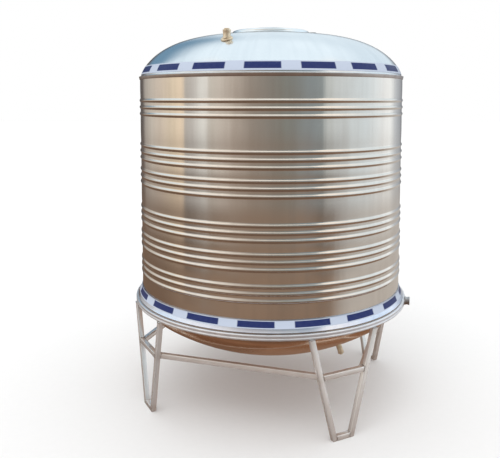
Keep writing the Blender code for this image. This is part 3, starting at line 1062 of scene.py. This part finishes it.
def hexPlug(name, radius, low, high):
    # the head of a screwed plug, with a sunk middle and rounded corners
    deselectAll()
    depth = high - low
    bpy.ops.mesh.primitive_cylinder_add(
        vertices=6, radius=radius, depth=depth, location=(0, 0, (low + high) / 2))
    piece = named(name)
    for face in piece.data.polygons:
        face.select = face.normal.z > 0.9
    bpy.ops.object.mode_set(mode="EDIT")
    bpy.ops.mesh.select_mode(type="FACE")
    bpy.ops.mesh.inset(thickness=0.35 * radius, depth=0)
    bpy.ops.mesh.inset(thickness=0.10 * radius, depth=-0.25 * depth)
    bpy.ops.mesh.select_mode(type="VERT")
    objectMode()
    applyPlace(piece)
    return rounded(piece, 0.0010, 3)


def surfaceAt(look, heightAt):
    # where a fitting stands on the roof or the dish, and the direction square to the sheet there
    reach, near = look["reach"], 0.001
    foot = atAngle(look["angle"], reach, heightAt(reach))
    fall = (heightAt(reach - near) - heightAt(reach + near)) / (2 * near)
    return foot, (atAngle(look["angle"], 1.0, 0.0) * fall + upright).normalized()


def makeSocketAndPlug(name, look, foot, axis, socketFoot):
    outline = socketOutline(look["radius"], look["height"], socketFoot)
    piece = turned(name + "Socket", outline, segments=48)
    standOn(piece, foot, axis)
    finished(piece, "brassCast", name + "_socket")
    low, high = look["height"] - 0.001, look["height"] + look["plugRise"]
    piece = hexPlug(name + "Plug", look["plugRadius"], low, high)
    standOn(piece, foot, axis)
    finished(piece, "brassCast", name + "_plug", angle=25)


def makeInlet():
    # the pad lies on the dome, and the socket stands upright on it
    look = fittings["inlet"]
    foot, square = surfaceAt(look, roofHeight)
    pad, rise = look["pad"], look["padRise"]
    outline = [(0.0, rise), (pad - 0.005, rise)]
    outline += arc((pad - 0.003, rise - 0.003), 0.003, 90, 0, 4)
    outline += arc((pad, 0.0013), 0.0015, 90, -60, 4)
    outline.append((0.0, -0.0004))
    piece = turned("inletPad", outline, segments=64)
    standOn(piece, foot, square)
    finished(piece, "brassCast", "inlet_flange")
    makeSocketAndPlug("inlet", look, foot, upright, 0.001)


def makeDrain():
    look = fittings["drain"]
    foot, square = surfaceAt(look, dishHeight)
    makeSocketAndPlug("drain", look, foot, -square, -0.002)


def makeOutlet():
    look = fittings["outlet"]
    radius, bore, end = look["radius"], look["bore"], look["end"]
    pitch, waist = look["pitch"], look["radius"] - 0.0014
    start = ringHigh.x - 0.0020
    inner = outletPipe["inner"]
    outline = [(inner, start - 0.002), (radius - 0.004, start - 0.002), (radius, start + 0.001)]
    outline += [(radius, start + 0.006), (waist, start + 0.0075)]
    outline += [(waist, end - 0.0085), (radius, end - 0.007)]
    outline += arc((radius - 0.001, end - 0.001), 0.001, 0, 90, 3)
    outline += [(bore + 0.0015, end), (bore, end - 0.0015)]
    depth = end - 0.0015
    while depth - pitch > start + 0.006:
        outline += [(bore - look["thread"], depth - 0.5 * pitch), (bore, depth - pitch)]
        depth -= pitch
    outline += [(bore, start + 0.0055), (inner, start + 0.005)]
    piece = turned("outletSocket", outline, segments=64, closed=True)
    foot = upright * outletPipe["height"]
    standOn(piece, foot, outletAxis)
    finished(piece, "fittingSteel", "outlet_socket", angle=25)

    # the weld round the socket's foot
    outline = arc((radius + 0.0004, ringHigh.x), 0.0016, 0, 330, 11)
    piece = turned("outletWeld", outline, segments=72, closed=True)
    standOn(piece, foot, outletAxis)
    finished(piece, "weldSteel")

    # the pipe is open at both ends
    corners = (("inner", "near"), ("outer", "near"), ("outer", "far"), ("inner", "far"))
    outline = [(outletPipe[side], outletPipe[end]) for side, end in corners]
    piece = turned("outletPipe", outline, segments=48, closed=True)
    standOn(piece, foot, outletAxis)
    finished(piece, "fittingSteel", "outlet_pipe")


makeHinge()
makeHasp()
makeInlet()
makeDrain()
makeOutlet()
print("fittings made")

welds = {
    "side": 0.0254,
    "corner": 0.003,
    "bead": 0.0019,
    "ripple": 0.74,
    "step": 0.0016,
    "sink": 0.0012,
    "footRise": 0.0015,
    "footScale": 0.84,
    "barSink": 0.0004,
    "braceGap": 0.0008,
}


def weldLoop():
    # a rippled bead round a square tube, modelled once about the origin
    half, corner = welds["side"] / 2, welds["corner"]
    path = []
    for x, y, start in ((1, 1, 0), (-1, 1, 90), (-1, -1, 180), (1, -1, 270)):
        path += arc((x * (half - corner), y * (half - corner)), corner, start, start + 90, 4)
        ahead = math.radians(start + 90)
        run = 2 * (half - corner)
        count = round(run / welds["step"])
        last = path[-1]
        for step in range(1, count):
            way = run * step / count
            path.append((last[0] - way * math.sin(ahead), last[1] + way * math.cos(ahead)))
    piece = drawnLine("weldLoop", [(x, y, 0.0) for x, y in path + path[:1]])
    selectAll()
    bpy.ops.mesh.remove_doubles(threshold=mergeGap)
    objectMode()
    applyPlace(piece)
    bpy.ops.object.convert(target="CURVE")
    piece = bpy.context.active_object
    piece.data.bevel_depth = welds["bead"]
    piece.data.bevel_resolution = 1
    for number, point in enumerate(piece.data.splines[0].points):
        point.radius = 1.0 if number % 2 else welds["ripple"]
    bpy.ops.object.convert(target="MESH")
    return bpy.context.active_object


def weldPlaces():
    # place, tilt and scale of each weld of a leg that stands at the front
    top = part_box("leg_1_left")[1].z
    lean = math.atan((legs["topHalf"] - legs["footHalf"]) / top)
    stretch = 1 / math.cos(lean)
    half, plane, bar = legs["tube"] / 2, -legs["plane"], legs["crossbar"]
    places = []
    for side in (-1, 1):
        across = side * (legs["topHalf"] - welds["sink"] * math.tan(lean))
        places.append(((across, plane, top - welds["sink"]), (0, 0, 0), (stretch, 1.0)))
        tilt = (0, math.pi / 2 + side * lean, 0)
        for height, scale in ((bar, stretch), (half + welds["footRise"], welds["footScale"])):
            reach = legs["footHalf"] + math.tan(lean) * height - half * stretch - welds["barSink"]
            places.append(((side * reach, plane, height), tilt, (scale, 1.0)))
        spot = (side * legs["braceHalf"], plane + half + welds["braceGap"], bar)
        places.append((spot, (math.pi / 2, 0, 0), (math.sqrt(2), 1.0)))
    return places


def makeWelds():
    source = weldLoop()
    for number, angle in enumerate(legs["angles"], 1):
        copies = []
        turn = Matrix.Rotation(math.radians(angle), 4, "Z")
        for spot, tilt, size in weldPlaces():
            piece = source.copy()
            piece.data = source.data.copy()
            bpy.context.scene.collection.objects.link(piece)
            move = Matrix.Translation(spot) @ Euler(tilt).to_matrix().to_4x4()
            piece.matrix_world = turn @ move @ Matrix.Diagonal((*size, 1.0, 1.0))
            applyPlace(piece)
            copies.append(piece)
        piece = joined("legWelds_" + str(number), copies)
        finished(piece, "weldSteel", angle=60)
    takeUp(source)
    bpy.ops.object.delete()


makeWelds()
print("welds laid")

studio = {
    "floorColour": (0.86, 0.86, 0.86),
    "floorSize": 80.0,
    "speckColour": (0.8342, 0.8342, 0.8342),
    "background": (1.0, 1.0, 1.0),
    "fill": (1.15, 1.15, 1.15),
    "sun": 0.6,
    "sunWidth": 50.0,
    "sunTilt": 38,
    "sunTurn": -18,
}
# what the steel reflects at eye level, by plan angle
surroundings = (
    (-180, (0.10, 0.09, 0.085)), (-146, (0.13, 0.115, 0.11)), (-137, (0.46, 0.43, 0.40)),
    (-125, (0.60, 0.56, 0.51)), (-108, (0.70, 0.62, 0.54)), (-90, (0.82, 0.71, 0.56)),
    (-78, (0.92, 0.77, 0.60)), (-75, (0.53, 0.51, 0.49)), (-66, (0.64, 0.625, 0.61)),
    (-57, (0.86, 0.87, 0.85)), (-53.5, (0.87, 0.87, 0.85)), (-51, (0.66, 0.63, 0.58)),
    (-42, (0.70, 0.65, 0.60)), (-30, (0.55, 0.495, 0.445)), (-16, (0.345, 0.31, 0.277)),
    (0, (0.27, 0.26, 0.24)), (12, (0.237, 0.25, 0.235)), (34, (0.277, 0.327, 0.354)),
    (44, (0.30, 0.35, 0.37)), (46.5, (0.60, 0.65, 0.66)), (56, (0.645, 0.70, 0.73)),
    (87, (0.79, 0.906, 0.986)), (112, (0.95, 1.00, 1.04)), (122, (1.00, 1.05, 1.08)),
    (134, (0.56, 0.60, 0.65)), (146, (0.42, 0.45, 0.49)), (158, (0.26, 0.27, 0.29)),
    (180, (0.10, 0.10, 0.11)),
)
# how bright the ground is just below eye level, by plan angle
nearShades = (
    (-180, 1.0), (-80, 0.95), (-75, 0.35), (-58, 0.40), (-45, 0.65), (-16, 0.90), (30, 0.90),
    (46, 0.40), (60, 0.55), (87, 0.95), (180, 1.0),
)
# the ground by height, from straight down (0) to eye level (1)
groundByHeight = (
    (0.0, (0.22, 0.13, 0.085)), (0.45, (0.235, 0.145, 0.10)), (0.74, (0.26, 0.175, 0.125)),
    (0.80, (0.285, 0.195, 0.14)), (1.0, (0.27, 0.20, 0.155)),
)
# parts of the ground and the sky, each with the angles or heights in degrees between which it
# fades in or out; front is a share of the way to +Y
paleGround = {
    "colour": (0.64, 0.62, 0.59), "share": 0.70, "from": (48.0, 70.0), "up": (-31.0, -22.0)}
shadedGround = {
    "colour": (0.10, 0.055, 0.035), "share": 0.55,
    "from": (-60.0, -110.0), "until": (-172.0, -180.0)}
darkGround = {
    "colour": (0.075, 0.055, 0.048), "share": 0.60, "front": (-0.5, -0.05), "down": (-46.0, -30.0)}
sky = {
    "warm": (1.08, 1.00, 0.92),
    "cool": (0.96, 1.05, 1.10),
    "blue": (0.17, 0.30, 0.42),
    "behind": (-0.45, 0.25),
    "overhead": (48.0, 66.0),
    "blueFrom": (-179.0, -164.0),
    "blueUntil": (-140.0, -112.0),
    "blueUp": (27.0, 55.0),
    "hazeShare": 0.18,
    "hazeUp": (38.0, 58.0),
}
# where ground gives way to the surroundings, and these to the sky: lower behind, higher in front
horizon = {
    "near": (-18.0, -11.0),
    "ground": (-14.0, -1.0),
    "sky": (18.0, 28.0),
    "lowerBehind": (7.0, 10.0),
    "higherInFront": (20.0, 25.0),
    "frontFrom": (-85.0, -25.0),
    "frontUntil": (40.0, 54.0),
}


def makeFloor():
    deselectAll()
    bpy.ops.mesh.primitive_plane_add(size=studio["floorSize"])
    floor = bpy.context.active_object
    floor.name = "floor"
    made, shader, place = newMaterial("paleFloor")
    speck = place.noise(30.0, 4.0)
    place.feed(shader.inputs["Base Color"], speck.mix(studio["floorColour"], studio["speckColour"]))
    shader.inputs["Roughness"].default_value = 1.0
    shader.inputs["Specular IOR Level"].default_value = 0.0
    floor.data.materials.append(made)
    floor.visible_glossy = False


def roundStops(table):
    # a table by plan angle as the stops of a ramp from -180 to 180 degrees
    return [((angle + 180) / 360, colour) for angle, colour in table]


def groundLook(angle, height, forward):
    look = (height / 90.0 + 1.0).ramp(groundByHeight)
    pale = angle.step(*paleGround["from"]) * height.step(*paleGround["up"])
    look = (paleGround["share"] * pale).mix(look, paleGround["colour"])
    shade = angle.step(*shadedGround["from"]) * (1.0 - angle.step(*shadedGround["until"]))
    look = (shadedGround["share"] * shade).mix(look, shadedGround["colour"])
    front = 1.0 - forward.step(*darkGround["front"])
    front = front * (1.0 - height.step(*darkGround["down"]))
    look = (darkGround["share"] * front).mix(look, darkGround["colour"])
    # just below eye level the ground is darker beside the bright parts of the surroundings
    near = roundStops((place, (share,) * 3) for place, share in nearShades)
    near = (angle / 360.0 + 0.5).ramp(near)
    return look.stretched(height.step(*horizon["near"]).mix((1.0, 1.0, 1.0), near))


def skyLook(angle, height, back):
    # warm in front, cool behind and overhead, blue behind on the left, with a haze behind
    cool = back.maths("MAXIMUM", height.step(*sky["overhead"]))
    blue = angle.step(*sky["blueFrom"]) * (1.0 - angle.step(*sky["blueUntil"]))
    blue = blue * (1.0 - height.step(*sky["blueUp"]))
    haze = sky["hazeShare"] * back * (1.0 - height.step(*sky["hazeUp"]))
    return blue.maths("MAXIMUM", haze).mix(cool.mix(sky["warm"], sky["cool"]), sky["blue"])


def makeWorld():
    world = bpy.data.worlds.new("softStudio")
    bpy.context.scene.world = world
    world.use_nodes = True
    tree = world.node_tree
    shader = tree.nodes["Background"]
    way = Signal(tree).node("ShaderNodeTexCoord", out="Generated")
    forward = way.part("Y")
    height = way.part("Z").maths("ARCSINE") * (180.0 / math.pi)
    angle = way.planAngle()
    back = forward.step(*sky["behind"])
    band = (angle / 360.0 + 0.5).ramp(roundStops(surroundings))
    seen = height.step(*horizon["ground"]).mix(groundLook(angle, height, forward), band)
    tall = angle.step(*horizon["frontFrom"]) * (1.0 - angle.step(*horizon["frontUntil"]))
    limits = []
    for key in (0, 1):
        limit = horizon["sky"][key] - horizon["lowerBehind"][key] * back
        limits.append(limit + horizon["higherInFront"][key] * tall)
    seen = height.step(*limits).mix(seen, skyLook(angle, height, back))
    # the camera sees the plain background, and rough surfaces are lit by a plain fill
    ray = way.node("ShaderNodeLightPath", out="Is Camera Ray")
    seen = ray.out("Is Diffuse Ray").mix(seen, studio["fill"])
    seen = ray.mix(seen, studio["background"])
    way.feed(shader.inputs["Color"], seen)


def makeLights():
    bpy.ops.object.light_add(type="SUN", location=(-1, -3, 4))
    sun = bpy.context.active_object
    sun.rotation_euler = (math.radians(studio["sunTilt"]), 0, math.radians(studio["sunTurn"]))
    sun.data.energy = studio["sun"]
    sun.data.angle = math.radians(studio["sunWidth"])
    sun.visible_glossy = False


makeFloor()
makeWorld()
makeLights()
bpy.context.scene.view_settings.view_transform = "Standard"
print("studio lit")
